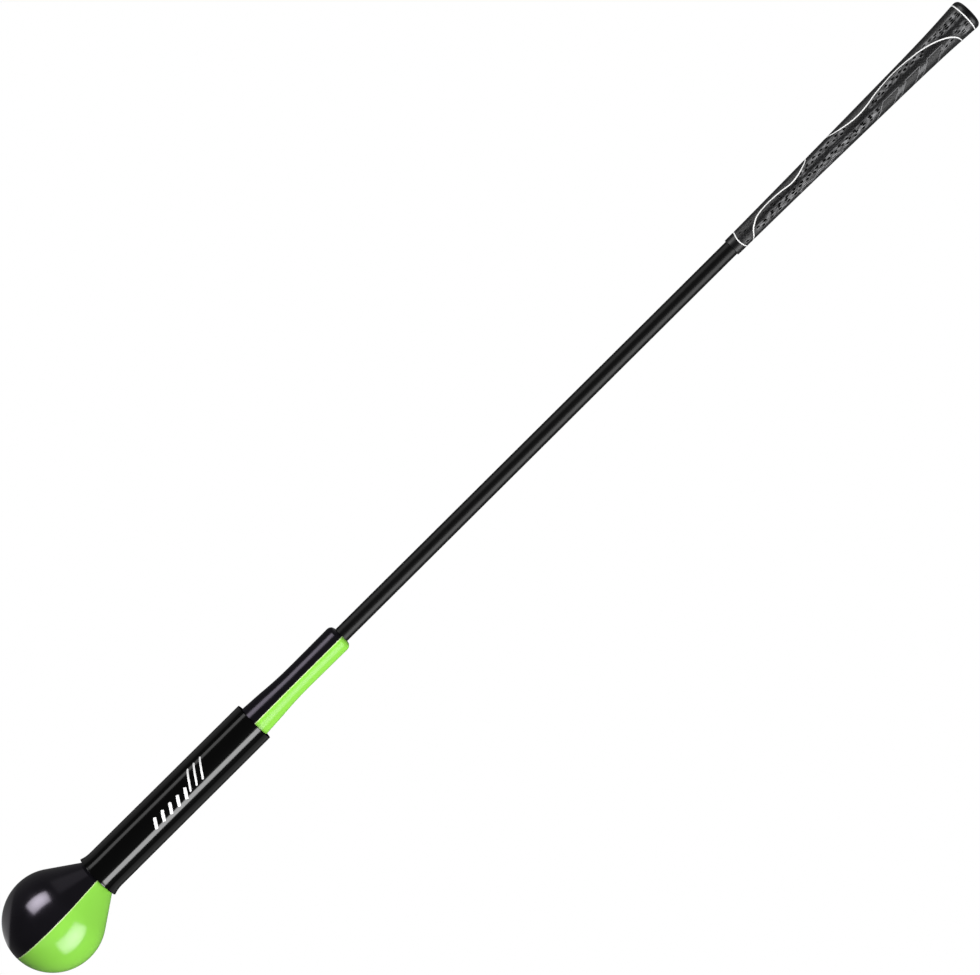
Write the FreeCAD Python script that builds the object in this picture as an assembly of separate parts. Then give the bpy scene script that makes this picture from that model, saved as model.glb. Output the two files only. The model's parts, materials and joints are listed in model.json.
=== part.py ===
import FreeCAD, Part
import math
import os

# Golf swing trainer: a tapered rubber grip on a long whippy rod, with a weighted
# two-shell bulb at the far end. The stick hangs along Z, grip at the top, and the
# origin is on its axis at the middle of the hands' hold. Millimetres.

# ---- overall ----
overall_length = 1016.0
butt_above_origin = 125.0

# ---- rod ----
shaft_radius = 6.35
flex_hinges = 4               # the rod's bending is shared between this many places
tongue_radius = 6.0           # round end of each section, turned about the bend's axis
seat_clearance = 0.3          # gap round each tongue, so that neighbours never touch
seat_drop = 2.0               # the next section starts this far below the bend's axis
tip_below_bulb_centre = 14.0  # how far the rod reaches into the weight

# ---- grip ----
grip_length = 253.5
tape_thickness = 0.2
grip_lip = 2.0                # the mouth hugs the bare rod over this length
# outside of the grip: (distance above the mouth, radius)
grip_outline = [(0.0, 7.3), (50.0, 7.85), (100.0, 8.6), (150.0, 9.45)]
grip_outline += [(190.0, 10.15), (222.0, 11.15), (247.8, 12.7)]
cap_radius = 12.8
cap_edge_radius = 3.8
cap_plug_length = 5.8
vent_radius = 1.6
air_gap = 2.0                 # between the cap's plug and the rod's end

# ---- head ----
bulb_radius = 39.25
bulb_centre_height = 40.0     # above the bulb's pole, a touch more than its radius
bulb_cone_angle = 34.5        # half angle of the cone that the bulb runs into
neck_radius = 13.4            # under the sleeve
neck_top_height = 346.4
neck_top_radius = 11.0
neck_top_round = 4.5
neck_bore_inset = 0.15        # the neck's mouth clears the rod's paint by this much
# slim upper neck: (height above the pole, radius), from just under the sleeve's upper rim
neck_waist = [(250.0, 13.4), (270.0, 12.25), (283.0, 11.3), (297.0, 10.8)]
bulb_wall = 3.0
neck_wall = 2.4
cavity_step_drop = 10.0       # the hollow starts to narrow this far below the waist
rib_thickness = 2.4
web_offsets = [-16.0, 0.0, 16.0]   # heights of the level webs, from the bulb's centre
clamp_spacing = 30.0          # between the ring ribs that hold the rod

# ---- neck sleeve ----
sleeve_bottom_height = 86.5
sleeve_top_height = 253.5
sleeve_radius = 17.2
sleeve_lip_radius = 18.7
sleeve_lip_height = 9.0
sleeve_lip_slope = 0.45       # how fast the lip narrows at its edge
sleeve_top_taper = 0.2        # the top is this much slimmer

# ---- weight ----
weight_radius = 24.0
weight_flat_height = 20.0     # the flat on top of the ball, above its centre
weight_clearance = 0.3
pin_radius = 2.0
pin_length = 43.0
pin_above_centre = 6.0

# ---- screws and dowels ----
screw_radius = 1.25
screw_head_radius = 2.2
screw_head_thickness = 1.8
screw_seat_x = 4.5            # plane that the screw heads pull against
screw_reach = 10.5            # shank length under the head
screw_y = 9.2                 # distance of each screw from the rod's axis
screw_row_shift = -3.0        # lowers the rows, so that they miss the ring ribs
screw_head_clearance = 0.1
pilot_depth_past_parting = 1.0
boss_radius = 2.9
driver_slot_depth = 1.0
driver_slot_width = 0.6
dowel_radius = 1.8
dowel_length = 4.0
dowel_clearance = 0.1
dowel_socket_extra = 0.5      # a socket is this much deeper than its dowel
dowel_boss_radius = 3.6
dowel_boss_reach = 7.0        # each side of the parting plane
dowel_circle_radius = 33.0
dowel_angles = [-90.0, -10.0, 190.0]   # round the bulb, in the parting plane

# ---- heights worked out from the above ----
pole_z = butt_above_origin - overall_length
mouth_z = butt_above_origin - grip_length
bulb_z = pole_z + bulb_centre_height
neck_top_z = pole_z + neck_top_height
sleeve_bottom_z = pole_z + sleeve_bottom_height
sleeve_top_z = pole_z + sleeve_top_height
cap_bottom_z = mouth_z + grip_outline[-1][0]
shaft_top_z = cap_bottom_z - cap_plug_length - air_gap
shaft_tip_z = bulb_z - tip_below_bulb_centre
span = (mouth_z - neck_top_z) / flex_hinges
hinge_z = [mouth_z - span * (n + 0.5) for n in range(flex_hinges)]
cone_angle = math.radians(bulb_cone_angle)


def at(x, y, z):
    return FreeCAD.Vector(x, y, z)


def line(start, end):
    """Straight edge between two (radius, z) points of a turned outline."""
    return Part.LineSegment(at(start[0], 0, start[1]), at(end[0], 0, end[1])).toShape()


def arc(start, middle, end):
    """Round edge through three (radius, z) points."""
    places = [at(r, 0, z) for r, z in (start, middle, end)]
    return Part.Arc(*places).toShape()


def smooth(points, start_slope=None, end_slope=None):
    """Smooth edge through (radius, z) points, with given end directions if any."""
    curve = Part.BSplineCurve()
    places = [at(r, 0, z) for r, z in points]
    if start_slope and end_slope:
        curve.interpolate(
            Points=places,
            InitialTangent=at(start_slope[0], 0, start_slope[1]),
            FinalTangent=at(end_slope[0], 0, end_slope[1]),
        )
    else:
        curve.interpolate(places)
    return curve.toShape()


def turned(edges):
    """Solid turned about Z from a closed outline."""
    face = Part.Face(Part.Wire(edges))
    return face.revolve(at(0, 0, 0), at(0, 0, 1), 360)


def rod(radius, low_z, high_z, x=0.0, y=0.0):
    return Part.makeCylinder(radius, high_z - low_z, at(x, y, low_z), at(0, 0, 1))


def save(shape, node):
    shape.exportStep("parts/" + node + ".step")
    print(node, "valid", shape.isValid(), "solids", len(shape.Solids), "mm3", round(shape.Volume, 1))


# ---------------------------------------------------------------- grip

def grip_body():
    """Tapered rubber grip, open at both ends, lipped at its mouth."""
    outside = [(r, mouth_z + s) for s, r in grip_outline]
    bore = shaft_radius + tape_thickness
    lip_z = mouth_z + grip_lip
    mouth_in = (shaft_radius, mouth_z)
    lip_in = (shaft_radius, lip_z)
    lip_out = (bore, lip_z)
    top_in = (bore, cap_bottom_z)
    edges = [smooth(outside)]
    edges.append(line(outside[-1], top_in))
    edges.append(line(top_in, lip_out))
    edges.append(line(lip_out, lip_in))
    edges.append(line(lip_in, mouth_in))
    edges.append(line(mouth_in, outside[0]))
    return turned(edges)


def grip_end_cap():
    """Smooth cap with a round edge, a plug that enters the grip, and a vent hole."""
    disc = rod(cap_radius, cap_bottom_z, butt_above_origin)
    rim = [e for e in disc.Edges if e.BoundBox.ZMin > butt_above_origin - 0.01]
    disc = disc.makeFillet(cap_edge_radius, rim)
    plug = rod(shaft_radius + tape_thickness, cap_bottom_z - cap_plug_length, cap_bottom_z)
    vent = rod(vent_radius, cap_bottom_z - 2 * cap_plug_length, butt_above_origin + 1.0)
    return disc.fuse(plug).cut(vent).removeSplitter()


def grip_tape():
    """One layer of double-sided tape between rod and grip."""
    low = mouth_z + grip_lip
    outside = rod(shaft_radius + tape_thickness, low, shaft_top_z)
    return outside.cut(rod(shaft_radius, low - 1, shaft_top_z + 1))


# ---------------------------------------------------------------- rod

def round_about_bend(radius, z):
    """Cylinder that lies along Y, with the bend's axis as its own."""
    start = at(0, -2 * shaft_radius, z)
    return Part.makeCylinder(radius, 4 * shaft_radius, start, at(0, 1, 0))


def shaft_section(high_z, low_z, seat_at_top, tongue_at_bottom):
    """Stretch of rod. Its lower end is a round tongue, and its upper end a seat for one."""
    top_z = high_z - seat_drop if seat_at_top else high_z
    section = rod(shaft_radius, low_z, top_z)
    if tongue_at_bottom:
        tongue = rod(shaft_radius, low_z - 2 * tongue_radius, low_z + 1)
        tongue = tongue.common(round_about_bend(tongue_radius, low_z))
        section = section.fuse(tongue).removeSplitter()
    if seat_at_top:
        section = section.cut(round_about_bend(tongue_radius + seat_clearance, high_z))
    return section


def shaft_tip_section():
    """Last stretch of rod, from the lowest bend to its end in the weight."""
    return shaft_section(hinge_z[-1], shaft_tip_z, True, False).cut(weight_pin_shape())


# ---------------------------------------------------------------- weight

def weight_pin_shape():
    start = at(0, -pin_length / 2, bulb_z + pin_above_centre)
    return Part.makeCylinder(pin_radius, pin_length, start, at(0, 1, 0))


def weight_pin_hole():
    start = at(0, -weight_radius, bulb_z + pin_above_centre)
    return Part.makeCylinder(pin_radius, 2 * weight_radius, start, at(0, 1, 0))


def swing_weight():
    """Cast ball with a flat top, bored for the rod and cross-drilled for the pin."""
    ball = Part.makeSphere(weight_radius, at(0, 0, bulb_z))
    ball = ball.cut(rod(weight_radius, bulb_z + weight_flat_height, bulb_z + weight_radius + 1))
    ball = ball.cut(rod(shaft_radius, shaft_tip_z, bulb_z + weight_radius + 1))
    return ball.cut(weight_pin_hole())


# ---------------------------------------------------------------- head shells

def cone_start(radius, z):
    """Where the cone touches a sphere of this radius centred at z."""
    return (radius * math.cos(cone_angle), z + radius * math.sin(cone_angle))


def cone_height_at(radius, start):
    return start[1] + (start[0] - radius) / math.tan(cone_angle)


def head_outside():
    """Bulb, cone, straight neck, slim upper neck and rounded mouth, as one solid."""
    pole = (0.0, pole_z)
    equator = (bulb_radius, bulb_z)
    tangent = cone_start(bulb_radius, bulb_z)
    half_way = math.radians(bulb_cone_angle / 2)
    arc_middle = (bulb_radius * math.cos(half_way), bulb_z + bulb_radius * math.sin(half_way))
    neck_low = (neck_radius, cone_height_at(neck_radius, tangent))
    waist = [(r, pole_z + h) for h, r in neck_waist]
    round_low = (neck_top_radius, neck_top_z - neck_top_round)
    round_mid = (
        neck_top_radius - neck_top_round * (1 - math.cos(math.pi / 4)),
        neck_top_z - neck_top_round * (1 - math.sin(math.pi / 4)),
    )
    round_top = (neck_top_radius - neck_top_round, neck_top_z)
    # the long axis of this ellipse points down the stick, so its first quarter is pole to equator
    lower = Part.Ellipse(at(0, 0, pole_z), at(bulb_radius, 0, bulb_z), at(0, 0, bulb_z))
    edges = [Part.Arc(lower, 0.0, math.pi / 2).toShape()]
    edges.append(arc(equator, arc_middle, tangent))
    edges.append(line(tangent, neck_low))
    edges.append(line(neck_low, waist[0]))
    edges.append(smooth(waist + [round_low], (0, 1), (0, 1)))
    edges.append(arc(round_low, round_mid, round_top))
    edges.append(line(round_top, (0.0, neck_top_z)))
    edges.append(line((0.0, neck_top_z), pole))
    return turned(edges)


def head_cavity():
    """Hollow inside the shells: a ball, a cone and a tube that narrows with the neck."""
    inner = bulb_radius - bulb_wall
    tangent = cone_start(inner, bulb_z)
    wide = neck_radius - neck_wall
    narrow = neck_waist[-1][1] - neck_wall
    step_low = pole_z + neck_waist[0][0] - cavity_step_drop
    step_high = pole_z + neck_waist[2][0]
    top = neck_top_z - neck_top_round - neck_wall
    half_way = math.radians((bulb_cone_angle - 90.0) / 2)
    side = (inner * math.cos(half_way), bulb_z + inner * math.sin(half_way))
    points = [tangent, (wide, cone_height_at(wide, tangent)), (wide, step_low)]
    points += [(narrow, step_high), (narrow, top), (0.0, top)]
    points.append((0.0, bulb_z - inner))
    edges = [arc(points[-1], side, tangent)]
    edges += [line(a, b) for a, b in zip(points, points[1:])]
    return turned(edges)


def bulb_webs():
    """Flat webs across the bulb that carry the weight."""
    half = bulb_radius
    wide = 2 * half
    upright_start = at(-half, -rib_thickness / 2, bulb_z - half)
    webs = [Part.makeBox(wide, rib_thickness, wide, upright_start)]
    for offset in web_offsets:
        start = at(-half, -half, bulb_z + offset - rib_thickness / 2)
        webs.append(Part.makeBox(wide, wide, rib_thickness, start))
    return webs


def clamp_rings():
    """Ring ribs down the neck that hold the rod."""
    low = sleeve_bottom_z + clamp_spacing / 2
    count = int((neck_top_z - low) / clamp_spacing)
    heights = [low + n * clamp_spacing for n in range(count)]
    return [rod(neck_radius, z, z + rib_thickness) for z in heights]


def screw_places():
    """Three pairs of screws, one each side of the rod, all under the sleeve."""
    middle = (sleeve_bottom_z + sleeve_top_z) / 2 + screw_row_shift
    rows = [middle + n * 2 * clamp_spacing for n in (-1, 0, 1)]
    return [(y, z) for z in rows for y in (-screw_y, screw_y)]


def across(radius, low_x, high_x, y, z):
    """Cylinder that lies along X."""
    return Part.makeCylinder(radius, high_x - low_x, at(low_x, y, z), at(1, 0, 0))


def screw_bosses():
    return [across(boss_radius, -neck_radius, neck_radius, y, z) for y, z in screw_places()]


def dowel_places():
    angles = [math.radians(a) for a in dowel_angles]
    circle = dowel_circle_radius
    return [(circle * math.cos(a), bulb_z + circle * math.sin(a)) for a in angles]


def dowel_bosses():
    reach = dowel_boss_reach
    return [across(dowel_boss_radius, -reach, reach, y, z) for y, z in dowel_places()]


def whole_head():
    """Both shells in one piece, before they are parted."""
    outside = head_outside()
    cavity = head_cavity()
    inside = bulb_webs() + clamp_rings() + screw_bosses() + dowel_bosses()
    inside = inside[0].multiFuse(inside[1:]).common(cavity)
    head = outside.cut(cavity).fuse(inside)
    head = head.cut(Part.makeSphere(weight_radius + weight_clearance, at(0, 0, bulb_z)))
    mouth_low_z = neck_top_z - neck_top_round
    head = head.cut(rod(shaft_radius, shaft_tip_z, mouth_low_z))
    return head.cut(rod(shaft_radius + neck_bore_inset, mouth_low_z, neck_top_z + 1))


def half_space(side):
    """Box on one side of the parting plane: -1 for the black half, +1 for the green."""
    size = 3 * bulb_radius
    low_x = 0.0 if side > 0 else -size
    start = at(low_x, -size / 2, pole_z - bulb_radius)
    return Part.makeBox(size, size, neck_top_height + size, start)


def head_shell_black(head):
    """Half with the dowels and the pilot holes."""
    shell = head.common(half_space(-1))
    for y, z in screw_places():
        end_x = pilot_depth_past_parting
        shell = shell.cut(across(screw_radius, screw_seat_x - screw_reach, end_x, y, z))
    for y, z in dowel_places():
        shell = shell.fuse(across(dowel_radius, -1.0, dowel_length, y, z))
    return shell.removeSplitter()


def head_shell_green(head):
    """Half with the screw holes, the heads' counterbores and the dowel sockets."""
    shell = head.common(half_space(1))
    for y, z in screw_places():
        shell = shell.cut(across(screw_radius, -1.0, screw_seat_x, y, z))
        counterbore = screw_head_radius + screw_head_clearance
        shell = shell.cut(across(counterbore, screw_seat_x, neck_radius + 1, y, z))
    socket_depth = dowel_length + dowel_socket_extra
    for y, z in dowel_places():
        shell = shell.cut(across(dowel_radius + dowel_clearance, -1.0, socket_depth, y, z))
    return shell.removeSplitter()


def neck_screws():
    """Pan-head screws with a driver slot, as separate solids."""
    screws = []
    for y, z in screw_places():
        shank = across(screw_radius, screw_seat_x - screw_reach, screw_seat_x, y, z)
        top_x = screw_seat_x + screw_head_thickness
        head = across(screw_head_radius, screw_seat_x, top_x, y, z)
        slot_start = at(top_x - driver_slot_depth, y - screw_head_radius, z - driver_slot_width / 2)
        slot = Part.makeBox(2 * driver_slot_depth, 2 * screw_head_radius, driver_slot_width, slot_start)
        screws.append(shank.fuse(head).cut(slot).removeSplitter())
    return Part.makeCompound(screws)


# ---------------------------------------------------------------- neck sleeve

def neck_sleeve():
    """Thick rubber sleeve, square at the top, flared to a lip where it meets the bulb."""
    tangent = cone_start(bulb_radius, bulb_z)
    cone_radius = tangent[0] - (sleeve_bottom_z - tangent[1]) * math.tan(cone_angle)
    lip = (sleeve_lip_radius, sleeve_bottom_z)
    flare_end = (sleeve_radius, sleeve_bottom_z + sleeve_lip_height)
    top_out = (sleeve_radius - sleeve_top_taper, sleeve_top_z)
    top_in = (neck_radius, sleeve_top_z)
    cone_top = (neck_radius, cone_height_at(neck_radius, tangent))
    cone_low = (cone_radius, sleeve_bottom_z)
    edges = [smooth([lip, flare_end], (-sleeve_lip_slope, 1.0), (0.0, 1.0))]
    edges.append(line(flare_end, top_out))
    edges.append(line(top_out, top_in))
    edges.append(line(top_in, cone_top))
    edges.append(line(cone_top, cone_low))
    edges.append(line(cone_low, lip))
    return turned(edges)


os.makedirs("parts", exist_ok=True)

save(grip_body(), "grip_body")
save(grip_end_cap(), "grip_end_cap")
save(grip_tape(), "grip_tape")

save(shaft_section(shaft_top_z, hinge_z[0], False, True), "shaft_butt_section")
middle_names = ["shaft_upper_section", "shaft_middle_section", "shaft_lower_section"]
for name, high_z, low_z in zip(middle_names, hinge_z, hinge_z[1:]):
    save(shaft_section(high_z, low_z, True, True), name)
save(shaft_tip_section(), "shaft_tip_section")

save(swing_weight(), "swing_weight")
save(weight_pin_shape(), "weight_pin")

both_shells = whole_head()
save(head_shell_black(both_shells), "head_shell_black")
save(head_shell_green(both_shells), "head_shell_green")
save(neck_screws(), "neck_screws")
save(neck_sleeve(), "neck_sleeve")
print("bends at z", [round(z, 1) for z in hinge_z])
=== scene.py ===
import json
import math

import bmesh
import bpy
from mathutils import Matrix, Vector

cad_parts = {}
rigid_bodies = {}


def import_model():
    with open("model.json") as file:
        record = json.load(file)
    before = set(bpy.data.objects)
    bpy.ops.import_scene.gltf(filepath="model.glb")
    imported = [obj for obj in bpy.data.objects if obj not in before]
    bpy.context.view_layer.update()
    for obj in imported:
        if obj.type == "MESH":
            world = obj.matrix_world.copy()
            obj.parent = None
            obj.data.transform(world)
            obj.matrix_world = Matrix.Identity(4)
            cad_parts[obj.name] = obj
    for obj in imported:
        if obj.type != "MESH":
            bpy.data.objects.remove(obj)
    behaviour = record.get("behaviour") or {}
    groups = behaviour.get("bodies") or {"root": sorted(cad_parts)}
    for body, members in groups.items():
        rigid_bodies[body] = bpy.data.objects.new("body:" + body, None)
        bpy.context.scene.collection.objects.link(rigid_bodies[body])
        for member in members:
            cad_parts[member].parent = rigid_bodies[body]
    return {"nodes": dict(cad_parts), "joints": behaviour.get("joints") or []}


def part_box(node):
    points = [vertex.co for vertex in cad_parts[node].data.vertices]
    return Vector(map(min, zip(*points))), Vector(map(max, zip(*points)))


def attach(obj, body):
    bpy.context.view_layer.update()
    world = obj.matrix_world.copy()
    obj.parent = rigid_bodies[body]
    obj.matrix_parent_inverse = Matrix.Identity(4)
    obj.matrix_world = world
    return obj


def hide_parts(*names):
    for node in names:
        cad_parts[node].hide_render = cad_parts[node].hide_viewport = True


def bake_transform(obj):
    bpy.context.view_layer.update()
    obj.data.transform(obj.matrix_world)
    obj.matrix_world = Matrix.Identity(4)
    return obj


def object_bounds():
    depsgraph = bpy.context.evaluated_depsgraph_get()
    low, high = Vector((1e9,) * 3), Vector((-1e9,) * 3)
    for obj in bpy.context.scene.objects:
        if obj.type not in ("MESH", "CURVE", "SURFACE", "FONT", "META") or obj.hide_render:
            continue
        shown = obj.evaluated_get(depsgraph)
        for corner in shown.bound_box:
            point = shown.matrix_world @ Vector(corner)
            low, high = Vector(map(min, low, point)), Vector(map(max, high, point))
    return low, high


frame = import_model()
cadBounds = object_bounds()
scene = bpy.context.scene
mm = 0.001


def hexColour(text):
    # an sRGB hex value as the linear colour that a shader socket takes
    parts = [int(text[i:i + 2], 16) / 255 for i in (1, 3, 5)]
    return [c / 12.92 if c <= 0.04045 else ((c + 0.055) / 1.055) ** 2.4 for c in parts] + [1.0]


def addNode(tree, kind, settings=None, inputs=None):
    # one node, its settings, and its inputs: a plain value, or another node's output to link
    node = tree.nodes.new(kind)
    for name, value in (settings or {}).items():
        setattr(node, name, value)
    for key, value in (inputs or {}).items():
        if isinstance(value, bpy.types.NodeSocket):
            tree.links.new(value, node.inputs[key])
        else:
            node.inputs[key].default_value = value
    return node


def newPiece(name, points, faces, material, creaseAngle=35):
    mesh = bpy.data.meshes.new(name)
    mesh.from_pydata(points, [], faces)
    work = bmesh.new()
    work.from_mesh(mesh)
    bmesh.ops.remove_doubles(work, verts=work.verts, dist=1e-7)
    bmesh.ops.recalc_face_normals(work, faces=work.faces)
    work.to_mesh(mesh)
    work.free()
    return linkPiece(name, mesh, material, creaseAngle)


def linkPiece(name, mesh, material, creaseAngle=35):
    if material:
        mesh.materials.clear()
        mesh.materials.append(material)
    mesh.polygons.foreach_set("use_smooth", [True] * len(mesh.polygons))
    mesh.set_sharp_from_angle(angle=math.radians(creaseAngle))
    piece = bpy.data.objects.new(name, mesh)
    scene.collection.objects.link(piece)
    return piece


def ringPoint(radius, z, angle):
    # angle 0 faces -Y, and 90 degrees is +X
    return (radius * math.sin(angle), -radius * math.cos(angle), z)


def turned(name, outline, segments, material, closed=True, creaseAngle=35):
    # solid turned about Z from (radius, z) points: a closed loop, or a line that ends on the axis
    count = len(outline)
    points = [ringPoint(r, z, 2 * math.pi * k / segments) for k in range(segments) for r, z in outline]
    faces = []
    for k in range(segments):
        here = k * count
        there = (k + 1) % segments * count
        for i in range(count if closed else count - 1):
            j = (i + 1) % count
            faces.append((here + i, there + i, there + j, here + j))
    return newPiece(name, points, faces, material, creaseAngle)


def roundCorner(centre, radius, startAngle, endAngle, steps):
    # stretch of a circle in an outline, from one angle to the other, in degrees
    angles = [math.radians(startAngle + (endAngle - startAngle) * i / steps) for i in range(steps + 1)]
    return [(centre[0] + radius * math.cos(a), centre[1] + radius * math.sin(a)) for a in angles]


def smoothThrough(points, steps):
    # finely spaced points on a smooth line through the given ones
    ends = [points[0]] + list(points) + [points[-1]]
    made = []
    for before, a, b, after in zip(ends, ends[1:], ends[2:], ends[3:]):
        for i in range(steps):
            t = i / steps
            weights = (-t + 2 * t**2 - t**3, 2 - 5 * t**2 + 3 * t**3, t + 4 * t**2 - 3 * t**3, t**3 - t**2)
            corners = (before, a, b, after)
            made.append(tuple(sum(w * p[k] for w, p in zip(weights, corners)) / 2 for k in range(len(a))))
    return made + [tuple(points[-1])]


def valueAt(curve, x):
    # straight reading between finely spaced (x, value) points
    for (xa, a), (xb, b) in zip(curve, curve[1:]):
        if x <= xb:
            return a + (b - a) * (x - xa) / (xb - xa)
    return curve[-1][1]


# heights and radii that the frame gives
gripLow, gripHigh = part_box("grip_body")
capLow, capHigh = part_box("grip_end_cap")
rodLow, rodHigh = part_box("shaft_upper_section")
sleeveLow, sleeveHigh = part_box("neck_sleeve")
greenLow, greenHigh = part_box("head_shell_green")
tipLow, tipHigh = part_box("shaft_tip_section")
buttLow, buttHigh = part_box("shaft_butt_section")
mouthZ = gripLow.z
rodRadius = (rodHigh.x - rodLow.x) / 2
flexJoints = sorted(frame["joints"], key=lambda j: -j["pos_m"][2])
viewAzimuth = -5.0


def newMaterial(name):
    material = bpy.data.materials.new(name)
    material.use_nodes = True
    tree = material.node_tree
    return material, tree, tree.nodes["Principled BSDF"]


def setShader(tree, shader, **values):
    # the shader's sockets by name, each a plain value or another node's output
    for name, value in values.items():
        socket = shader.inputs[name.replace("_", " ")]
        if isinstance(value, bpy.types.NodeSocket):
            tree.links.new(value, socket)
        else:
            socket.default_value = value


def objectCoords(tree):
    return addNode(tree, "ShaderNodeTexCoord").outputs["Object"]


def calculate(tree, kind, *values):
    return addNode(tree, "ShaderNodeMath", {"operation": kind}, dict(enumerate(values))).outputs[0]


def calculateVector(tree, kind, *values):
    node = addNode(tree, "ShaderNodeVectorMath", {"operation": kind}, dict(enumerate(values)))
    return node.outputs["Value" if kind in ("DOT_PRODUCT", "LENGTH") else "Vector"]


def scaled(tree, vector, amount):
    node = addNode(tree, "ShaderNodeVectorMath", {"operation": "SCALE"}, {0: vector, "Scale": amount})
    return node.outputs["Vector"]


def splitParts(tree, vector):
    return addNode(tree, "ShaderNodeSeparateXYZ", None, {0: vector}).outputs


def stretched(tree, place, scale):
    return addNode(tree, "ShaderNodeMapping", None, {"Vector": place, "Scale": scale}).outputs[0]


def noise(tree, place, size, detail, roughness=0.5):
    # cloudy patches about as wide as the size
    inputs = {"Vector": place, "Scale": 1 / size, "Detail": detail, "Roughness": roughness}
    return addNode(tree, "ShaderNodeTexNoise", None, inputs).outputs["Fac"]


def remap(tree, value, low, high, newLow=0.0, newHigh=1.0, soft=False):
    # low to high becomes newLow to newHigh, with nothing past either end
    settings = {"interpolation_type": "SMOOTHSTEP"} if soft else None
    inputs = {"Value": value, "From Min": low, "From Max": high, "To Min": newLow, "To Max": newHigh}
    return addNode(tree, "ShaderNodeMapRange", settings, inputs).outputs["Result"]


def mixTones(tree, share, first, second):
    # share 0 gives the first tone and 1 the second; a tone is a hex value or another node's output
    node = addNode(tree, "ShaderNodeMix", {"data_type": "RGBA"}, {0: share})
    for socket, tone in (("A", first), ("B", second)):
        if isinstance(tone, str):
            node.inputs[socket].default_value = hexColour(tone)
        else:
            tree.links.new(tone, node.inputs[socket])
    return node.outputs["Result"]


def bumpFrom(tree, height, strength, distance):
    inputs = {"Height": height, "Strength": strength, "Distance": distance}
    return addNode(tree, "ShaderNodeBump", None, inputs).outputs["Normal"]


def mouldedAbs(name, colour, deep, highlight, paintedEdgeHighlight, neckShine):
    # injection-moulded ABS, polished tool: a deep gloss with a faint orange peel and fine handling marks
    values = {"peel": 5 * mm, "peelHeight": 0.2 * mm, "scuff": 14 * mm, "gloss": 0.13, "dull": 0.2,
              "edge": 1.1 * mm, "blast": 0.02, "blastFade": 20 * mm, "shine": 0.5, "coat": 0.25}
    material, tree, shader = newMaterial(name)
    place = objectCoords(tree)
    parts = splitParts(tree, place)
    cloud = noise(tree, place, values["scuff"], 4.0)
    dull = remap(tree, cloud, 0.35, 0.75, values["gloss"], values["dull"])
    peel = noise(tree, place, values["peel"], 1.0)
    # painted highlight: the colour along the parting edge is a shade paler, standing in for the light that
    # the rounded edge catches
    reach = calculate(tree, "ABSOLUTE", parts["X"])
    edge = remap(tree, reach, 0.4 * values["edge"], values["edge"], 1.0, 0.0)
    # the neck was blasted finer than the bulb, so its reflections are dimmer
    neck = remap(tree, parts["Z"], sleeveHigh.z - values["blastFade"], sleeveHigh.z)
    shine = calculate(tree, "MULTIPLY_ADD", neck, neckShine - values["shine"], values["shine"])
    setShader(tree, shader, IOR=1.53, Coat_Roughness=0.08, Specular_Tint=hexColour(highlight),
              Base_Color=mixTones(tree, edge, mixTones(tree, cloud, colour, deep), paintedEdgeHighlight),
              Roughness=calculate(tree, "MULTIPLY_ADD", neck, values["blast"], dull),
              Specular_IOR_Level=shine,
              Coat_Weight=calculate(tree, "MULTIPLY_ADD", neck, -values["coat"], values["coat"]),
              Normal=bumpFrom(tree, peel, 0.04, values["peelHeight"]))
    return material


def extrudedRubber(name):
    # extruded soft PVC rubber, drawn through a polished die: a clean gloss with faint lengthwise draw lines
    values = {"drawLine": 1.1 * mm, "lineHeight": 0.1 * mm, "stretch": 60.0, "gloss": 0.09, "dull": 0.16,
              "cutFace": 0.3 * mm, "shine": 0.5}
    material, tree, shader = newMaterial(name)
    place = objectCoords(tree)
    lines = noise(tree, stretched(tree, place, (1, 1, 1 / values["stretch"])), values["drawLine"], 3.0)
    dull = remap(tree, lines, 0.3, 0.7, values["gloss"], values["dull"])
    # the sawn upper end is matt: a mask that rises just below the cut
    cut = sleeveHigh.z - values["cutFace"]
    sawn = remap(tree, splitParts(tree, place)["Z"], cut, cut + 0.5 * values["cutFace"])
    rough = addNode(tree, "ShaderNodeMath", {"operation": "ADD", "use_clamp": True}, {0: dull, 1: sawn})
    setShader(tree, shader, IOR=1.52, Base_Color=hexColour("#060606"), Roughness=rough.outputs[0],
              Specular_IOR_Level=calculate(tree, "MULTIPLY_ADD", sawn, -values["shine"], values["shine"]),
              Normal=bumpFrom(tree, lines, 0.03, values["lineHeight"]))
    return material


def rodLacquer(name):
    # black lacquer sprayed on a ground glassfibre rod: satin, with fine lengthwise grinding lines under it
    values = {"grind": 90.0, "around": 420.0, "lineHeight": 0.05 * mm, "gloss": 0.3, "dull": 0.4}
    material, tree, shader = newMaterial(name)
    place = addNode(tree, "ShaderNodeUVMap", {"uv_map": "around"}).outputs[0]
    lines = noise(tree, stretched(tree, place, (values["around"], values["grind"], 1)), 1.0, 4.0)
    setShader(tree, shader, IOR=1.5, Base_Color=hexColour("#161616"),
              Roughness=remap(tree, lines, 0.3, 0.7, values["gloss"], values["dull"]),
              Normal=bumpFrom(tree, lines, 0.05, values["lineHeight"]))
    return material


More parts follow.
